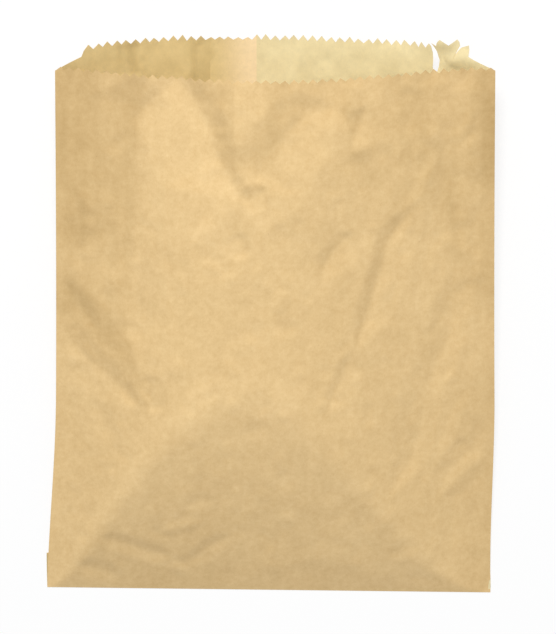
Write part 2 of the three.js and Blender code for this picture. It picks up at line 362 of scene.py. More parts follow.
class Crease:
    def __init__(self, points, rise, left, right, peak=0.5, hold=2.0, rounding=CREASE_ROUND):
        self.points = points
        self.rise = rise
        self.left = left
        self.right = right
        self.peak = peak
        self.hold = hold
        self.rounding = rounding

    def height(self, s, y, line):
        """The height that the crease adds at (s, y), when its points lie at line."""
        lengths = np.hypot(*(line[1:] - line[:-1]).T)
        total = lengths.sum()
        best = np.full_like(s, 1e9)
        signed = np.zeros_like(s)
        along = np.zeros_like(s)
        before = 0.0
        for (s0, y0), (s1, y1), length in zip(line[:-1], line[1:], lengths):
            us, uy = (s1 - s0) / length, (y1 - y0) / length
            t = (s - s0) * us + (y - y0) * uy
            held = np.clip(t, 0, length)
            off = np.hypot(s - s0 - held * us, y - y0 - held * uy)
            near = off < best
            side = np.sign((s - s0) * uy - (y - y0) * us)
            signed = np.where(near, side * off, signed)
            along = np.where(near, (before + held) / total, along)
            best = np.where(near, off, best)
            before += length
        end = np.where(along < self.peak, along / self.peak, (1 - along) / (1 - self.peak))
        spread = np.where(signed > 0, self.right, self.left)
        away = np.sqrt(best**2 + self.rounding**2) - self.rounding
        return self.rise * np.maximum(0, np.minimum(1, end * self.hold) - away / spread)


def pressed(s, y, creases, height):
    total = np.zeros_like(s)
    for crease in creases:
        total += crease.height(s, y, on_sheet(crease.points, height))
    return total


# Creases of the front, from the left band round to the bottom, in the photograph's pixels

# The left band ends in a valley that runs most of the way down
LEFT_BAND_CREASES = [
    Crease([(146, 72), (138, 150), (131, 240), (140, 330), (151, 405)], -2.2, 16, 30, 0.3, 3),
]

# The wedge that drops away towards the lower left
LOWER_WEDGE_CREASES = [
    Crease([(52, 262), (86, 290), (120, 330), (144, 372), (153, 414)], 0.9, 30, 18, 0.6, 2),
    Crease([(58, 276), (80, 306), (100, 334)], -0.8, 6, 6, 0.45),
    Crease([(56, 318), (84, 358), (112, 378), (140, 408)], -0.8, 10, 14, 0.5, 2),
    Crease([(144, 374), (149, 392), (153, 414)], -0.9, 9, 4, 0.6, 3),
    Crease([(124, 382), (130, 394), (134, 408)], -0.6, 4, 4),
    Crease([(56, 352), (72, 357), (92, 366)], 0.5, 5, 6, 0.3, 2),
]

# Lower left
LOWER_LEFT_CREASES = [
    Crease([(118, 384), (114, 410), (122, 440)], 0.5, 8, 5),
    Crease([(94, 398), (102, 418), (108, 442)], -0.5, 6, 6),
    Crease([(66, 372), (60, 420), (58, 470)], -0.6, 8, 10),
]

# The bright facet left of the middle, and the wedge beside it
LEFT_OF_MIDDLE_CREASES = [
    Crease([(163, 66), (194, 100), (214, 150), (240, 200)], -2.6, 12, 34, 0.3, 2.4),
    Crease([(233, 72), (232, 110), (235, 146), (239, 176)], 1.1, 12, 13, 0.3, 2.6),
    Crease([(196, 76), (204, 88), (214, 104)], 0.4, 5, 5),
    Crease([(206, 78), (216, 92), (226, 106)], -0.4, 4, 5),
    Crease([(206, 84), (212, 112), (216, 142)], -0.5, 6, 6),
    Crease([(219, 146), (221, 164), (226, 178)], 0.5, 4, 6),
    Crease([(238, 176), (241, 190), (243, 204)], -0.7, 3, 7),
    Crease([(238, 232), (243, 246), (247, 260)], -0.9, 4, 12),
    Crease([(196, 176), (206, 170), (220, 168)], 0.35, 5, 5),
    Crease([(212, 208), (226, 214), (240, 206)], 0.45, 7, 7),
    Crease([(196, 236), (218, 226), (238, 224)], 0.4, 8, 8),
    Crease([(186, 248), (214, 262), (246, 258)], -0.6, 10, 12, 0.7),
]

# The dent in the middle of the mouth
MOUTH_DENT_CREASES = [
    Crease([(240, 203), (253, 198), (268, 190)], -1.1, 6, 9),
    Crease([(243, 186), (256, 186), (266, 188)], 0.5, 5, 5),
    Crease([(248, 196), (268, 156), (294, 126), (334, 106)], -1.9, 16, 26, 0.5, 2.5),
    Crease([(283, 130), (294, 118), (312, 119), (318, 132)], 0.35, 4, 5),
    Crease([(276, 142), (290, 146), (308, 138)], -0.3, 4, 4),
    Crease([(330, 72), (337, 96), (345, 122)], -0.8, 7, 12, 0.35),
    Crease([(353, 80), (350, 100), (347, 122)], 0.8, 7, 6, 0.35),
    Crease([(368, 104), (360, 124), (351, 144)], -0.8, 8, 4),
    Crease([(349, 152), (360, 150), (372, 146)], 0.5, 4, 7),
    Crease([(330, 108), (324, 160), (304, 204), (264, 236)], 1.3, 24, 18, 0.35, 2.5),
    Crease([(350, 150), (372, 146), (392, 132)], 0.5, 7, 7),
]

# Diagonal folds right of the middle
DIAGONAL_CREASES = [
    Crease([(356, 232), (340, 246), (327, 262), (322, 284)], -1.1, 12, 6, 0.4),
    Crease([(424, 196), (404, 222), (389, 240), (381, 270), (370, 305), (356, 350)], -1.4, 14, 7, 0.5, 2.2),
    Crease([(376, 226), (370, 262), (358, 300), (344, 340)], 0.4, 7, 14, 0.5),
    Crease([(352, 350), (342, 378), (327, 414)], -1.0, 10, 4.5, 0.5),
    Crease([(303, 250), (318, 268), (322, 300)], -0.4, 8, 8),
]

# The fan of folds from the upper right
UPPER_RIGHT_FAN_CREASES = [
    Crease([(436, 72), (438, 120), (440, 152)], 0.9, 9, 10, 0.5, 3),
    Crease([(434, 160), (424, 190), (411, 218), (404, 262)], 0.9, 9, 6, 0.4),
    Crease([(417, 226), (408, 240), (403, 262)], -0.4, 5, 4),
    Crease([(442, 150), (452, 196), (463, 250)], -1.1, 6, 12, 0.6),
    Crease([(498, 196), (478, 214), (468, 240)], -0.5, 8, 5),
    Crease([(456, 300), (462, 290), (474, 280)], -0.4, 4, 5),
    Crease([(404, 84), (412, 112), (404, 140)], -0.6, 8, 8),
    Crease([(470, 76), (472, 130), (482, 186)], 0.9, 9, 14, 0.4, 3),
    Crease([(462, 248), (480, 236), (495, 230)], -0.7, 10, 10),
    Crease([(452, 268), (451, 330), (428, 386), (414, 452), (384, 503)], -1.3, 9, 14, 0.5, 2.6),
    Crease([(432, 246), (436, 282), (430, 330)], 0.5, 7, 7),
    Crease([(472, 300), (462, 330), (466, 362)], 0.5, 6, 6),
    Crease([(470, 388), (456, 436), (432, 474)], 0.8, 8, 6, 0.5),
    Crease([(490, 452), (466, 470), (440, 498)], 0.8, 7, 6, 0.5),
    Crease([(492, 410), (478, 440), (458, 462)], -0.5, 6, 6),
    Crease([(424, 392), (418, 424), (424, 456)], 0.4, 6, 5),
]

# The middle
MIDDLE_CREASES = [
    Crease([(272, 322), (282, 330), (300, 326)], -0.5, 5, 5),
    Crease([(276, 316), (280, 300), (290, 292)], 0.5, 5, 5),
    Crease([(220, 346), (244, 334), (272, 325)], -0.35, 6, 6),
    Crease([(240, 436), (256, 430), (272, 426)], -0.3, 5, 5),
    Crease([(277, 419), (283, 416), (290, 420)], 0.35, 3, 3),
    Crease([(194, 448), (198, 464), (197, 482)], 0.3, 5, 4),
    Crease([(165, 372), (176, 368), (184, 360)], 0.4, 6, 6),
]

# Wrinkles above the turned-up bottom, on the left
BOTTOM_WRINKLES = [
    Crease([(98, 538), (122, 542), (150, 552), (172, 556)], -0.8, 5, 6, 0.5, 3),
    Crease([(172, 557), (188, 566), (206, 548), (232, 535)], -0.7, 5, 5, 0.5, 3),
    Crease([(158, 534), (178, 527), (206, 522)], 0.5, 4, 4),
    Crease([(164, 568), (184, 569), (202, 560)], 0.45, 4, 4),
    Crease([(74, 564), (98, 571), (124, 580)], -0.9, 7, 7),
    Crease([(184, 508), (200, 500), (216, 502)], -0.4, 5, 5),
]

# Bottom right
BOTTOM_RIGHT_CREASES = [
    Crease([(402, 577), (438, 584), (478, 591)], -0.5, 5, 4, 0.6, 3),
    Crease([(388, 556), (404, 548), (422, 546)], -0.5, 6, 6),
    Crease([(280, 566), (320, 558), (366, 566)], 0.35, 8, 8),
]

FRONT_CREASES = [
    *LEFT_BAND_CREASES,
    *LOWER_WEDGE_CREASES,
    *LOWER_LEFT_CREASES,
    *LEFT_OF_MIDDLE_CREASES,
    *MOUTH_DENT_CREASES,
    *DIAGONAL_CREASES,
    *UPPER_RIGHT_FAN_CREASES,
    *MIDDLE_CREASES,
    *BOTTOM_WRINKLES,
    *BOTTOM_RIGHT_CREASES,
]

# Creases of the back that show in the mouth
BACK_CREASES = [
    Crease([(133, 40), (134, 80)], -0.9, 4, 9, 0.5, 3),
    Crease([(207, 36), (206, 90)], -1.6, 26, 7, 0.5, 3),
    Crease([(320, 36), (326, 84)], 0.5, 10, 8, 0.5, 3),
    Crease([(393, 40), (400, 80)], 0.6, 8, 10, 0.5, 3),
    Crease([(438, 51), (447, 47), (456, 50), (464, 48)], 0.7, 3, 3, 0.5, 3),
    Crease([(440, 62), (449, 56), (460, 58)], -0.6, 3, 3, 0.5, 3),
    Crease([(440, 71), (450, 63), (466, 60), (478, 66)], 0.7, 4, 4, 0.5, 3),
]


class PaintedFacet:
    """A patch of painted light or shade, where a facet of the sheet catches or loses the light: the
    paper's colour made lighter or darker by a share of its tone. Its corners lie in the photograph's
    pixels, and its edge fades over "soft" millimetres."""

    def __init__(self, corners, tone, soft):
        self.corners = corners
        self.tone = tone
        self.soft = soft

    def shade(self, s, y, corners):
        inside = np.zeros(s.shape, bool)
        nearest = np.full(s.shape, 1e9)
        for (s0, y0), (s1, y1) in zip(corners, np.roll(corners, -1, 0)):
            t = clamp01(((s - s0) * (s1 - s0) + (y - y0) * (y1 - y0)) / ((s1 - s0) ** 2 + (y1 - y0) ** 2))
            nearest = np.minimum(nearest, np.hypot(s - mix(s0, s1, t), y - mix(y0, y1, t)))
            crosses = (y0 > y) != (y1 > y)
            inside ^= crosses & (s < s0 + (y - y0) * (s1 - s0) / (y1 - y0 if y1 != y0 else 1.0))
        return self.tone * ease(0.5 + np.where(inside, nearest, -nearest) / self.soft)


def shading(s, y, facets, height):
    """The facets' painted light and shade over the grid, with ragged edges and uneven inside, and a random
    mottle added.
    """
    rough = np.random.default_rng(SEED)
    ragged_s = s + layered_noise(rough, s, y, RAGGED_EDGE)
    ragged_y = y + layered_noise(rough, s, y, RAGGED_EDGE)
    total = np.zeros_like(s)
    for facet in facets:
        total += facet.shade(ragged_s, ragged_y, on_sheet(facet.corners, height))
    total *= 1 + layered_noise(rough, s, y, UNEVEN_PAINTED_LIGHT)
    return total + layered_noise(rough, s, y, MOTTLE)


# Painted shade on the bands along the two sides, which lean outwards
SIDE_BAND_PAINTED_SHADE = [
    PaintedFacet(
        [(30, 40), (147, 60), (143, 100), (138, 180), (132, 262), (128, 320), (138, 372), (30, 290)],
        -0.055, 4,
    ),
    PaintedFacet([(30, 40), (147, 60), (143, 100), (138, 180), (128, 240), (30, 240)], -0.06, 16),
    PaintedFacet([(30, 40), (100, 50), (90, 180), (84, 300), (30, 330)], -0.03, 14),
    PaintedFacet([(400, 40), (530, 40), (530, 330), (470, 300), (440, 230), (410, 150)], -0.08, 24),
    PaintedFacet([(466, 40), (530, 40), (530, 200), (480, 180)], -0.09, 18),
    PaintedFacet([(345, 60), (430, 60), (430, 190), (360, 200)], -0.045, 20),
    PaintedFacet([(458, 370), (530, 370), (530, 600), (466, 600)], -0.05, 16),
    PaintedFacet([(484, 40), (530, 40), (530, 640), (484, 640), (488, 400)], -0.03, 12),
]

# Painted shade on the wedge below the left band
WEDGE_PAINTED_SHADE = [
    PaintedFacet(
        [(50, 262), (100, 300), (128, 340), (144, 372), (153, 414), (120, 392), (86, 360), (50, 310)],
        -0.055, 5,
    ),
    PaintedFacet([(60, 280), (76, 284), (108, 326), (102, 342), (84, 322)], -0.02, 5),
]

# Painted highlights on the bright facet left of the middle, and painted shade on the dark wedge beside it
LEFT_MIDDLE_PAINTED_LIGHT_AND_SHADE = [
    PaintedFacet(
        [(150, 74), (165, 76), (195, 104), (214, 150), (238, 196), (216, 230), (150, 250), (140, 180)],
        0.02, 4,
    ),
    PaintedFacet([(160, 90), (192, 104), (212, 150), (236, 200), (214, 240), (170, 230), (156, 160)], 0.025, 14),
    PaintedFacet([(205, 216), (236, 234), (247, 259), (215, 254), (192, 240)], 0.055, 3),
    PaintedFacet([(240, 206), (262, 216), (277, 221), (264, 233), (247, 224)], 0.04, 3),
    PaintedFacet([(176, 72), (233, 72), (235, 143), (219, 147), (205, 120), (194, 97)], -0.07, 2),
    PaintedFacet([(219, 147), (238, 144), (238, 174), (228, 178), (220, 164)], -0.04, 2),
]

# Painted shade in the dent in the middle of the mouth
MOUTH_DENT_PAINTED_SHADE = [
    PaintedFacet(
        [(262, 72), (334, 72), (328, 100), (300, 116), (284, 148), (262, 180), (250, 168), (264, 130)],
        -0.06, 5,
    ),
    PaintedFacet([(240, 203), (244, 184), (268, 189), (262, 196), (250, 200)], -0.035, 3),
    PaintedFacet(
        [(268, 187), (284, 152), (300, 122), (326, 112), (322, 140), (318, 176), (290, 204), (262, 214)],
        -0.01, 3,
    ),
    PaintedFacet([(326, 112), (352, 100), (352, 150), (336, 166), (322, 150)], -0.03, 5),
    PaintedFacet([(330, 74), (352, 74), (350, 100), (347, 122), (338, 108)], -0.05, 4),
    PaintedFacet([(356, 108), (367, 104), (358, 128), (350, 146), (348, 132)], -0.04, 3),
    PaintedFacet([(348, 153), (366, 150), (362, 176), (350, 166)], -0.06, 3),
]

# Painted shade along the diagonals right of the middle
DIAGONAL_PAINTED_SHADE = [
    PaintedFacet([(354, 230), (344, 240), (326, 262), (318, 274), (319, 264), (332, 244), (346, 234)], -0.07, 3),
    PaintedFacet(
        [(408, 206), (396, 228), (386, 244), (376, 282), (360, 340), (352, 352), (364, 296), (376, 244)],
        -0.05, 4,
    ),
    PaintedFacet([(396, 184), (432, 170), (412, 222), (384, 226)], -0.05, 8),
    PaintedFacet([(442, 152), (454, 196), (462, 250), (452, 240), (444, 200)], -0.05, 4),
]

# Painted highlight on the climbing facet at the bottom, painted shade at its lower left,
# and a painted highlight on the folded corner at the bottom right
CLIMBING_FACET_PAINTED_LIGHT_AND_SHADE = [
    PaintedFacet(
        [(40, 600), (66, 556), (130, 470), (200, 378), (292, 378), (386, 505), (426, 546), (480, 600)],
        0.035, 6,
    ),
    PaintedFacet([(60, 575), (100, 530), (230, 520), (240, 600), (60, 600)], -0.025, 14),
    PaintedFacet([(474, 600), (484, 588), (489, 568), (510, 568), (510, 600)], 0.05, 2),
]

# All the painted light and shade of the front
FRONT_FACETS = [
    *SIDE_BAND_PAINTED_SHADE,
    *WEDGE_PAINTED_SHADE,
    *LEFT_MIDDLE_PAINTED_LIGHT_AND_SHADE,
    *MOUTH_DENT_PAINTED_SHADE,
    *DIAGONAL_PAINTED_SHADE,
    *CLIMBING_FACET_PAINTED_LIGHT_AND_SHADE,
]

# Painted shade on the inside of the back, beside the seam's hidden edge and in the crease to its left
BACK_PAINTED_SHADE = [
    PaintedFacet([(188, 20), (213, 20), (216, 100), (188, 100)], -0.10, 7),
    PaintedFacet([(130, 20), (138, 20), (138, 100), (128, 100)], -0.08, 3),
]


def value_noise(rng, s, y, size_s, size_y):
    """Smooth noise from -1 to 1 with features of that size."""
    columns = int(math.ceil(2 * BAG_WIDTH / size_s)) + 4
    rows = int(math.ceil(2 * FRONT_LENGTH / size_y)) + 4
    lattice = rng.uniform(-1, 1, (columns, rows))
    u = (s + BAG_WIDTH) / size_s
    v = (y + 0.5 * FRONT_LENGTH) / size_y
    i = np.clip(u.astype(int), 0, columns - 2)
    j = np.clip(v.astype(int), 0, rows - 2)
    fu, fv = ease(u - i), ease(v - j)
    low = mix(lattice[i, j], lattice[i + 1, j], fu)
    high = mix(lattice[i, j + 1], lattice[i + 1, j + 1], fu)
    return mix(low, high, fv)


def layered_noise(rng, s, y, layers):
    total = np.zeros_like(s)
    for strength, size_s, size_y in layers:
        total += strength * value_noise(rng, s, y, size_s, size_y)
    return total


def cockle(rng, s, y):
    """The slight unevenness of paper that has been handled: broad waves, and fine ripples along its grain."""
    waves = layered_noise(rng, s, y, WAVES)
    ripples = layered_noise(rng, s, y, RIPPLES)
    left = grows(-s, LEFT_RIPPLES_OUT) * grows(y, LEFT_RIPPLES_UP)
    right = RIGHT_RIPPLE_SHARE * grows(s, RIGHT_RIPPLES_OUT)
    return waves + RIPPLE_HEIGHT * (RIPPLE_SHARE + left + right) * ripples


def small_creases(rng, count):
    """Short creases all over the front, mostly along the folds' own direction, steeper on the right."""
    creases = []
    for _ in range(count):
        middle = np.array([rng.uniform(*SMALL_CREASE_COLUMNS), rng.uniform(*SMALL_CREASE_ROWS)])
        usual = RIGHT_LEAN if middle[0] > STEEPER_FROM_COLUMN else LEFT_LEAN
        lean = math.radians(rng.normal(usual, LEAN_SPREAD))
        half = rng.uniform(*SMALL_CREASE_HALF) * np.array([math.cos(lean), math.sin(lean)])
        bend = rng.normal(0, SMALL_CREASE_BEND, 2)
        rise = rng.choice([-1, 1]) * rng.uniform(*SMALL_CREASE_RISE)
        left, right = rng.uniform(*SMALL_CREASE_SPREAD, 2)
        creases.append(Crease([middle - half, middle + bend, middle + half], rise, left, right))
    return creases


def sheet_margin(s, y):
    """1 over most of the front, and 0 at the side folds and the bottom fold, which stay straight."""
    return ease((HALF_WIDTH - np.abs(s)) / SIDE_MARGIN) * ease((y - bottom_edge(s)) / BOTTOM_MARGIN)


# Teeth


class Teeth:
    """The uneven saw teeth along one cut: how high each stands, how its tip leans, and how it curls."""

    def __init__(self, rng, height):
        self.height = height * rng.uniform(*TOOTH_SHARES, TOOTH_COUNT)
        self.lean = rng.normal(0, TOOTH_LEAN, TOOTH_COUNT)
        self.curl = rng.normal(0, TOOTH_BEND, TOOTH_COUNT)
        self.root = rng.normal(0, TOOTH_ROOT, TOOTH_COUNT + 1)

    def wear(self, first, last, share):
        self.height[first : last + 1] *= share

    def at(self, column):
        """(rise, sideways shift, curl) of the cut at each column."""
        tooth = np.minimum(column // STEPS_PER_TOOTH, TOOTH_COUNT - 1)
        t = (column - tooth * STEPS_PER_TOOTH) / STEPS_PER_TOOTH
        up = 1 - np.abs(2 * t - 1)
        root = mix(self.root[tooth], self.root[tooth + 1], t)
        return up * self.height[tooth] + root, up * self.lean[tooth], up**2 * self.curl[tooth]


# Building the sheet as a surface, which is then given the paper's thickness


class Surface:
    """Points and faces that grow into one open surface, in millimetres."""

    def __init__(self):
        self.points = []
        self.shades = []
        self.faces = []
        self.count = 0

    def grid(self, points, shade=None):
        """Adds a grid of points, rows x columns x 3, and gives back their numbers."""
        rows, columns, _ = points.shape
        ids = self.count + np.arange(rows * columns).reshape(rows, columns)
        self.points.append(points.reshape(-1, 3))
        self.shades.append(np.zeros(rows * columns) if shade is None else shade.ravel())
        self.count += rows * columns
        return ids

    def fill(self, ids, flip, open_columns=()):
        """Adds the quads of a grid, but none between an open column and the next."""
        a, b, c, d = ids[:-1, :-1], ids[:-1, 1:], ids[1:, 1:], ids[1:, :-1]
        quads = np.stack([a, d, c, b] if flip else [a, b, c, d], -1)
        keep = [i for i in range(quads.shape[1]) if i not in open_columns]
        self.faces += quads[:, keep].reshape(-1, 4).tolist()

    def bridge(self, one, other, one_at, other_at):
        """Adds the triangles between two lines of points, matched by their places along."""
        i = j = 0
        while i < len(one) - 1 or j < len(other) - 1:
            step_one = j == len(other) - 1 or (i < len(one) - 1 and one_at[i + 1] <= other_at[j + 1])
            if step_one:
                self.faces.append([int(one[i]), int(one[i + 1]), int(other[j])])
                i += 1
            else:
                self.faces.append([int(one[i]), int(other[j + 1]), int(other[j])])
                j += 1

    def shell(self, thickness):
        """The surface as a mesh in metres, thickened inwards, without the points that no face uses."""
        points = np.concatenate(self.points) * MM
        used = sorted({i for face in self.faces for i in face})
        renumbered = {old: new for new, old in enumerate(used)}
        sheet = bpy.data.meshes.new("sheet")
        faces = [[renumbered[i] for i in face] for face in self.faces]
        sheet.from_pydata(points[used].tolist(), [], faces)
        shades = np.concatenate(self.shades)[used]
        sheet.attributes.new(SHADE, "FLOAT", "POINT").data.foreach_set("value", shades)
        holder = bpy.data.objects.new("sheet", sheet)
        bpy.context.scene.collection.objects.link(holder)
        ply = holder.modifiers.new("ply", "SOLIDIFY")
        ply.thickness = thickness * MM
        ply.offset = -1
        ply.material_offset = 1
        sheet.materials.append(None)
        sheet.materials.append(None)
        bpy.context.view_layer.update()
        graph = bpy.context.evaluated_depsgraph_get()
        solid = bpy.data.meshes.new_from_object(holder.evaluated_get(graph))
        bpy.data.objects.remove(holder)
        bpy.data.meshes.remove(sheet)
        return solid


def column_places():
    return np.linspace(-HALF_WIDTH, HALF_WIDTH, TOOTH_COUNT * STEPS_PER_TOOTH + 1)


def row_places(zones):
    """Shares of the way up the bag, from (length of the zone below the mouth, rows) listed upwards."""
    ends = [1 - length / FRONT_LENGTH for length, _ in zones] + [1.0]
    parts = [np.linspace(a, b, rows + 1)[1:] for a, b, (_, rows) in zip(ends, ends[1:], zones)]
    return np.concatenate([[0.0], *parts])


def toothed_grid(reach, profile, shares):
    """(s, y, curl) over a grid of rows and columns whose top is cut into teeth."""
    rise, shift, curl = profile
    zone = TOOTH_ZONE / FRONT_LENGTH
    v = shares[:, None]
    top = clamp01((v - (1 - zone)) / zone)
    y = mix(bottom_edge(column_places()), reach, v) + top * rise
    s = np.broadcast_to(column_places(), y.shape) + top * shift
    return s, y, top**2 * curl


def place(s, y, z):
    return np.stack([across(s, y), y - ORIGIN_FROM_BOTTOM, z], -1)


COLUMNS = np.arange(TOOTH_COUNT * STEPS_PER_TOOTH + 1)
FRONT_SHARES = row_places([(FRONT_LENGTH, FRONT_ROWS), (TOOTH_ZONE, TOOTH_ROWS)])
BACK_SHARES = row_places(
    [(FRONT_LENGTH, BACK_ROWS), (FINE_BACK_ZONE, FINE_BACK_ROWS), (TOOTH_ZONE, TOOTH_ROWS)]
)


def front_grid(rng):
    teeth = Teeth(rng, TOOTH_HEIGHT)
    teeth.wear(0, TOOTH_COUNT - 1, FRONT_TOOTH_WEAR)
    s, y, curl = toothed_grid(front_reach(column_places()), teeth.at(COLUMNS), FRONT_SHARES)
    z = front_height(s, y)
    margin = sheet_margin(s, y)
    z += margin * pressed(s, y, FRONT_CREASES, front_height)
    z += margin * (cockle(rng, s, y) + pressed(s, y, small_creases(rng, SMALL_CREASES), front_height))
    z += curl * TOOTH_CURL * ease((HALF_WIDTH - np.abs(s)) / TOOTH_CURL_MARGIN)
    z = np.maximum(z, back_height(s, y) + 2 * PAPER)
    side = flap_lift(y) + side_height(y) + 2 * PAPER
    z[:, [0, -1]] = side[:, [0, -1]]
    # The front's painted light and shade go with its points
    return place(s, y, z), shading(s, y, FRONT_FACETS, front_height)


def back_grid(rng):
    teeth = Teeth(rng, TOOTH_HEIGHT)
    teeth.wear(*WORN_TEETH, WORN_SHARE)
    toothed = HALF_WIDTH - np.abs(column_places()) > LIP_CORNER + LEAST_GAP
    profile = [part * toothed for part in teeth.at(COLUMNS)]
    s, y, curl = toothed_grid(back_reach(column_places()), profile, BACK_SHARES)
    z = back_height(s, y)
    room = z - flap_lift(y)
    folds = np.maximum(pressed(s, y, BACK_CREASES, back_height), -DEEPEST_DENT * room)
    uneven = np.abs(cockle(rng, s, y))
    margin = ease((HALF_WIDTH - np.abs(s)) / SIDE_MARGIN) * grows(y, BACK_CREASES_UP)
    z += margin * (folds + BACK_UNEVEN_SHARE * uneven) + np.abs(curl) * TOOTH_CURL
    side = flap_lift(y) + side_height(y)
    z[:, [0, -1]] = side[:, [0, -1]]
    return s, y, z


class Tear:
    """A cut down from the lip along one column, and how far its two edges have drawn apart."""

    def __init__(self, top, bottom, left_edge, right_edge, reach):
        self.pixels = np.array([top, bottom], float)
        self.left_edge = left_edge
        self.right_edge = right_edge
        self.reach = reach


# The lip is torn right of the middle: a curved gap, and a slanting slit beside it
GAP = Tear((436, 46), (437, 74), (-1.0, -1.7, -1.4, -1.6, -2.6), (0.2, 1.4, 2.3, 0.4, -2.5), 7.0)
SLIT = Tear((457, 47), (457, 60), (-2.6, -0.6, 1.6, 3.0), (-2.6, -0.1, 2.3, 3.9), 6.5)
TEARS = (GAP, SLIT)


def open_tears(s, y, z):
    """Splits the back's grid at each tear and moves the paper beside it. Gives back the points, and for each
    tear its column and the row that its cut starts from."""
    points = place(s, y, z)
    cuts = []
    for tear in TEARS:
        (s_top, y_top), (s_low, y_low) = on_sheet(tear.pixels, back_height)
        column = int(np.argmin(np.abs(column_places() - (s_top + s_low) / 2))) + len(cuts)
        row = int(np.argmin(np.abs(y[:, min(column, y.shape[1] - 1)] - y_low)))
        points = np.concatenate([points[:, : column + 1], points[:, column:]], 1)
        up = clamp01((points[:, :, 1] + ORIGIN_FROM_BOTTOM - y_low) / (y_top - y_low))
        number = np.arange(points.shape[1])
        x_cut = points[:, column : column + 1, 0]
        away = np.abs(points[:, :, 0] - x_cut)
        fade = np.exp(-((away / tear.reach) ** 2))
        fade *= ease(1 - (y_low - points[:, :, 1] - ORIGIN_FROM_BOTTOM) / tear.reach)
        on_left = number <= column
        moved = np.where(on_left, profile_at(tear.left_edge, up), profile_at(tear.right_edge, up))
        points[:, :, 0] += moved * fade
        cuts.append((column, row))
    return points, cuts


def profile_at(values, up):
    return np.interp(up, np.linspace(0, 1, len(values)), values)


def tube_shell(rng):
    """The front and the back, joined along the side folds and the bottom fold."""
    surface = Surface()
    front = surface.grid(*front_grid(rng))
    surface.fill(front, False)
    s, y, z = back_grid(rng)
    points, cuts = open_tears(s, y, z)
    crumple(points, cuts)
    # Painted shade inside the back, and a random mottle of the paper's tone
    shade = shading(s, y, BACK_PAINTED_SHADE, back_height)
    shade += layered_noise(rng, s, y, INSIDE_MOTTLE)
    for column, _ in cuts:
        shade = np.concatenate([shade[:, : column + 1], shade[:, column:]], 1)
    back = surface.grid(points, shade)
    for column, row in cuts:
        back[: row + 1, column + 1] = back[: row + 1, column]
    surface.fill(back, True, [column for column, _ in cuts])
    whole = np.delete(back, [column + 1 for column, _ in cuts], 1)
    surface.fill(np.stack([whole[0], front[0]]), False)
    surface.bridge(front[:, 0], back[:, 0], FRONT_SHARES, BACK_SHARES)
    surface.bridge(back[:, -1], front[:, -1], BACK_SHARES, FRONT_SHARES)
    return surface.shell(PAPER)


def crumple(points, cuts):
    """Lifts and bends the fragment between the two tears."""
    (left, _), (right, _) = cuts
    y = points[:, :, 1]
    middle = points[-1, left + 1 : right + 1]
    x0, x1 = middle[:, 0].min(), middle[:, 0].max()
    part = points[:, left + 1 : right + 1]
    t = clamp01((part[:, :, 0] - x0) / (x1 - x0))
    up = ease((part[:, :, 1] - (y[-1, left] - FRAGMENT_LENGTH)) / FRAGMENT_LENGTH)
    part[:, :, 2] += up * FRAGMENT_LIFT * np.sin(math.pi * t)
    part[:, :, 2] += up * FRAGMENT_BUCKLE * np.sin(FRAGMENT_WAVES * math.pi * t + FRAGMENT_PHASE)
    part[:, :, 1] += up * FRAGMENT_SHIFT * mix(*FRAGMENT_SPREAD, t)
    beside = points[:, right + 1 :]
    up = ease((beside[:, :, 1] - (y[-1, right + 1] - FRAGMENT_LENGTH)) / FRAGMENT_LENGTH)
    beside[:, :, 1] += up * FRAGMENT_SHIFT * np.exp(-(((beside[:, :, 0] - x1) / FRAGMENT_REACH) ** 2))


def seam_shell(rng):
    """The inner ply of the lap seam, whose free edge shows inside the mouth."""
    s, y, z = back_grid(rng)
    columns = np.where((column_places() >= SEAM_HIDDEN_EDGE) & (column_places() <= SEAM_FREE_EDGE))[0]
    surface = Surface()
    lift = (SEAM_LIFT + SEAM_EDGE_LIFT * grows(y, SEAM_LIFT_UP)) * PAPER
    points = place(s, y, z + lift)[1:, columns]
    surface.fill(surface.grid(points), False)
    ply = surface.shell(PAPER * SEAM_PLY)
    ply.polygons.foreach_set("material_index", [1] * len(ply.polygons))
    return ply


def turn_up_shell():
    """The bottom of the tube, turned up behind the back and glued."""
    s = column_places()
    rows = np.linspace(0, 1, FLAP_ROWS + 1)[:, None]
    y = bottom_edge(s) + rows * FLAP_HEIGHT + (1 - rows) * PAPER
    z = back_height(s, y) - FLAP_STACK
    points = place(np.broadcast_to(s, y.shape), y, z)
    points[:, 0, 0] -= FLAP_OVERHANG * rows[:, 0]
    surface = Surface()
    surface.fill(surface.grid(points), True)
    return surface.shell(FLAP_STACK)


def join(name, meshes, materials):
    """One object made of several meshes, whose faces keep which side of the paper they are."""
    points, faces, sides, shades = [], [], [], []
    for mesh in meshes:
        shade = np.zeros(len(mesh.vertices))
        mesh.attributes[SHADE].data.foreach_get("value", shade)
        shades.append(shade)
        before = len(points)
        points += [tuple(v.co) for v in mesh.vertices]
        faces += [[before + i for i in polygon.vertices] for polygon in mesh.polygons]
        sides += [polygon.material_index for polygon in mesh.polygons]
    joined = bpy.data.meshes.new(name)
    joined.from_pydata(points, [], faces)
    joined.update()
    joined.shade_smooth()
    joined.set_sharp_from_angle(angle=SHARP_FOLD)
    joined.attributes.new(SHADE, "FLOAT", "POINT").data.foreach_set("value", np.concatenate(shades))
    for material in materials:
        joined.materials.append(material)
    joined.polygons.foreach_set("material_index", sides)
    item = bpy.data.objects.new(name, joined)
    bpy.context.scene.collection.objects.link(item)
    return item


# Materials


def new_material(name):
    material = bpy.data.materials.new(name)
    material.use_nodes = True
    tree = material.node_tree
    shader = tree.nodes["Principled BSDF"]
    return material, tree, shader


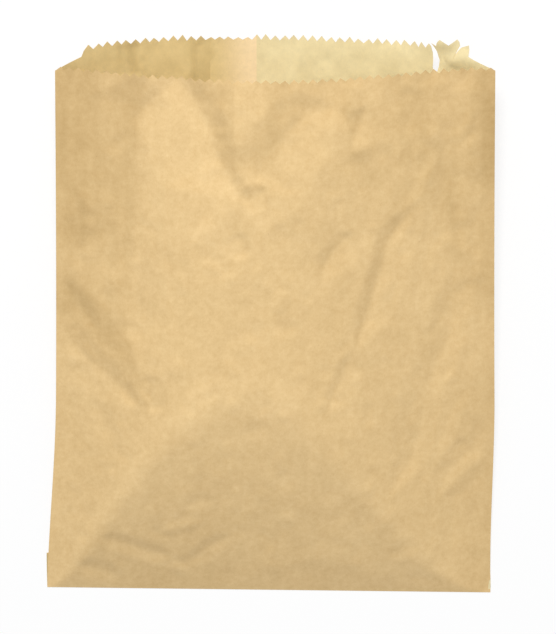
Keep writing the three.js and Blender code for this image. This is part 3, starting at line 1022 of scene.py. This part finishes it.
def noise_at(tree, vector, scale, detail, roughness=0.6, stretch=(1, 1, 1)):
    mapping = tree.nodes.new("ShaderNodeMapping")
    mapping.inputs["Scale"].default_value = stretch
    tree.links.new(vector, mapping.inputs["Vector"])
    noise = tree.nodes.new("ShaderNodeTexNoise")
    noise.inputs["Scale"].default_value = scale
    noise.inputs["Detail"].default_value = detail
    noise.inputs["Roughness"].default_value = roughness
    tree.links.new(mapping.outputs["Vector"], noise.inputs["Vector"])
    return noise.outputs["Fac"]


def math_node(tree, operation, a, b, c=None):
    node = tree.nodes.new("ShaderNodeMath")
    node.operation = operation
    for socket, value in zip(node.inputs, (a, b, c)):
        if value is None:
            continue
        if isinstance(value, (int, float)):
            socket.default_value = value
        else:
            tree.links.new(value, socket)
    return node.outputs[0]


def weighted(tree, first, *others):
    """The sum of outputs, each times its share."""
    total = math_node(tree, "MULTIPLY", *first)
    for output, share in others:
        total = math_node(tree, "MULTIPLY_ADD", output, share, total)
    return total


def vector_node(tree, operation, *values):
    node = tree.nodes.new("ShaderNodeVectorMath")
    node.operation = operation
    for socket, value in zip(node.inputs, values):
        if isinstance(value, tuple):
            socket.default_value = value
        else:
            tree.links.new(value, socket)
    return node.outputs[0]


def paper_material(name, dark, light):
    """Brown kraft: fibres along the web, a cloudy formation and a few darker specks. dark and light are
    functions that give an output or a plain colour."""
    material, tree, shader = new_material(name)
    place_on = tree.nodes.new("ShaderNodeTexCoord").outputs["Object"]
    clouds = noise_at(tree, place_on, scale=330, detail=4, roughness=0.65)
    blotches = noise_at(tree, place_on, scale=45, detail=3)
    streaks = noise_at(tree, place_on, scale=500, detail=3, stretch=(1, 0.1, 1))
    fibres = noise_at(tree, place_on, scale=1700, detail=2, stretch=(1, 0.5, 1))
    specks = noise_at(tree, place_on, scale=800, detail=1)

    tone = weighted(tree, (clouds, 0.45), (blotches, 0.2), (streaks, 0.08), (fibres, 0.22))
    spread = tree.nodes.new("ShaderNodeMapRange")
    spread.inputs["From Min"].default_value = TONE_RANGE[0]
    spread.inputs["From Max"].default_value = TONE_RANGE[1]
    tree.links.new(tone, spread.inputs["Value"])
    paper = mix_colours(tree, spread.outputs["Result"], dark(tree, place_on), light(tree, place_on))

    # The paper's colour times the shade attribute: painted light and shade, and a random mottle
    shade = tree.nodes.new("ShaderNodeAttribute")
    shade.attribute_name = SHADE
    share = vector_node(tree, "MULTIPLY_ADD", shade.outputs["Fac"], SHADE_TINT, (1, 1, 1))
    paper = vector_node(tree, "MULTIPLY", paper, share)

    speck_mask = math_node(tree, "GREATER_THAN", specks, SPECK_LEVEL)
    speck = math_node(tree, "MULTIPLY", speck_mask, SPECK_SHARE)
    tinted = mix_colours(tree, speck, paper, SPECK_COLOUR)
    tree.links.new(tinted, shader.inputs["Base Color"])

    rough = math_node(tree, "MULTIPLY_ADD", blotches, ROUGHNESS_SPREAD, ROUGHNESS)
    tree.links.new(rough, shader.inputs["Roughness"])
    shader.inputs["Specular IOR Level"].default_value = SPECULAR

    relief = weighted(tree, (fibres, 0.35), (streaks, 0.4), (clouds, 0.6))
    bump = tree.nodes.new("ShaderNodeBump")
    bump.inputs["Strength"].default_value = BUMP_STRENGTH
    bump.inputs["Distance"].default_value = BUMP_DEPTH * MM
    tree.links.new(relief, bump.inputs["Height"])
    tree.links.new(bump.outputs["Normal"], shader.inputs["Normal"])
    return material


def mix_colours(tree, share, a, b):
    """A colour between a and b, each an output or a plain colour."""
    node = tree.nodes.new("ShaderNodeMix")
    node.data_type = "RGBA"
    factor, first, second = node.inputs[0], node.inputs[6], node.inputs[7]
    tree.links.new(share, factor)
    for socket, value in ((first, a), (second, b)):
        if isinstance(value, tuple):
            socket.default_value = (*value, 1)
        else:
            tree.links.new(value, socket)
    return node.outputs[2]


def kraft_paper():
    return paper_material("kraft_paper", lambda tree, at: KRAFT_DARK, lambda tree, at: KRAFT_LIGHT)


def inner_painted_light_and_shade(darken):
    """The paper's inner side, in painted light and shade: duller with painted shade on the left, warmer
    where the seam doubles it, and paler with painted light shining through the single ply on the right.
    """

    def tone(tree, place_on):
        split = tree.nodes.new("ShaderNodeSeparateXYZ")
        tree.links.new(place_on, split.inputs[0])
        colour = None
        for edge, blur, (low, high) in (
            (SEAM_HIDDEN_EDGE + SEAM_LAP / 2, SEAM_LAP, (INNER_SHADED, INNER_LAPPED_PAINTED_LIGHT)),
            (SEAM_FREE_EDGE, SEAM_EDGE_BLUR, (None, INNER_PAINTED_LIGHT)),
        ):
            low = colour if low is None else tuple(c * darken for c in low)
            high = tuple(c * darken for c in high)
            ramp = tree.nodes.new("ShaderNodeMapRange")
            ramp.interpolation_type = "SMOOTHSTEP"
            ramp.inputs["From Min"].default_value = (across(edge, SEAM_SEEN_AT) - blur / 2) * MM
            ramp.inputs["From Max"].default_value = (across(edge, SEAM_SEEN_AT) + blur / 2) * MM
            tree.links.new(split.outputs["X"], ramp.inputs["Value"])
            colour = mix_colours(tree, ramp.outputs["Result"], low, high)
        return colour

    return tone


def kraft_inside():
    return paper_material("kraft_paper_inside", *(inner_painted_light_and_shade(share) for share in INNER_TONES))


def white_table():
    """A white table that shows as the photograph's white ground and still takes the bag's shadow."""
    material, tree, shader = new_material("white_table")
    shader.inputs["Base Color"].default_value = (*TABLE_COLOUR, 1)
    shader.inputs["Roughness"].default_value = TABLE_ROUGHNESS
    glow = tree.nodes.new("ShaderNodeEmission")
    glow.inputs["Color"].default_value = (1, 1, 1, 1)
    seen = tree.nodes.new("ShaderNodeLightPath").outputs["Is Camera Ray"]
    blend = tree.nodes.new("ShaderNodeMixShader")
    tree.links.new(math_node(tree, "MULTIPLY", seen, WHITE_SHARE), blend.inputs["Fac"])
    tree.links.new(shader.outputs["BSDF"], blend.inputs[1])
    tree.links.new(glow.outputs["Emission"], blend.inputs[2])
    tree.links.new(blend.outputs["Shader"], tree.nodes["Material Output"].inputs["Surface"])
    return material


def add_table():
    mesh = bpy.data.meshes.new("table_top")
    half, top = TABLE_HALF, -TABLE_GAP * MM
    corners = [(-half, -half, top), (half, -half, top), (half, half, top), (-half, half, top)]
    mesh.from_pydata(corners, [], [(0, 1, 2, 3)])
    table = bpy.data.objects.new("table_top", mesh)
    table.data.materials.append(white_table())
    bpy.context.scene.collection.objects.link(table)


def add_lamp(name, direction, distance, size, power):
    data = bpy.data.lights.new(name, "AREA")
    data.shape = "DISK"
    data.size = size
    data.energy = power
    lamp = bpy.data.objects.new(name, data)
    toward = Vector(direction).normalized()
    lamp.location = toward * distance
    lamp.rotation_euler = toward.to_track_quat("Z", "Y").to_euler()
    bpy.context.scene.collection.objects.link(lamp)


def add_light():
    world = bpy.data.worlds.new("studio")
    bpy.context.scene.world = world
    world.use_nodes = True
    tree = world.node_tree
    room = tree.nodes["Background"]
    room.inputs["Color"].default_value = (*ROOM_COLOUR, 1)
    room.inputs["Strength"].default_value = ROOM_LIGHT
    white = tree.nodes.new("ShaderNodeBackground")
    white.inputs["Strength"].default_value = 1
    seen = tree.nodes.new("ShaderNodeLightPath").outputs["Is Camera Ray"]
    blend = tree.nodes.new("ShaderNodeMixShader")
    tree.links.new(seen, blend.inputs["Fac"])
    tree.links.new(room.outputs["Background"], blend.inputs[1])
    tree.links.new(white.outputs["Background"], blend.inputs[2])
    tree.links.new(blend.outputs["Shader"], tree.nodes["World Output"].inputs["Surface"])
    add_lamp("key", KEY_DIRECTION, KEY_DISTANCE, KEY_SIZE, KEY_POWER)


# The scene

rng = np.random.default_rng(SEED)
plies = [tube_shell(rng), seam_shell(np.random.default_rng(SEED)), turn_up_shell()]
bag = join("paper_bag_sheet", plies, [kraft_paper(), kraft_inside()])
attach(bag, "root")
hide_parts("paper_bag")

add_table()
add_light()
add_camera()
bpy.context.scene.view_settings.view_transform = "Standard"
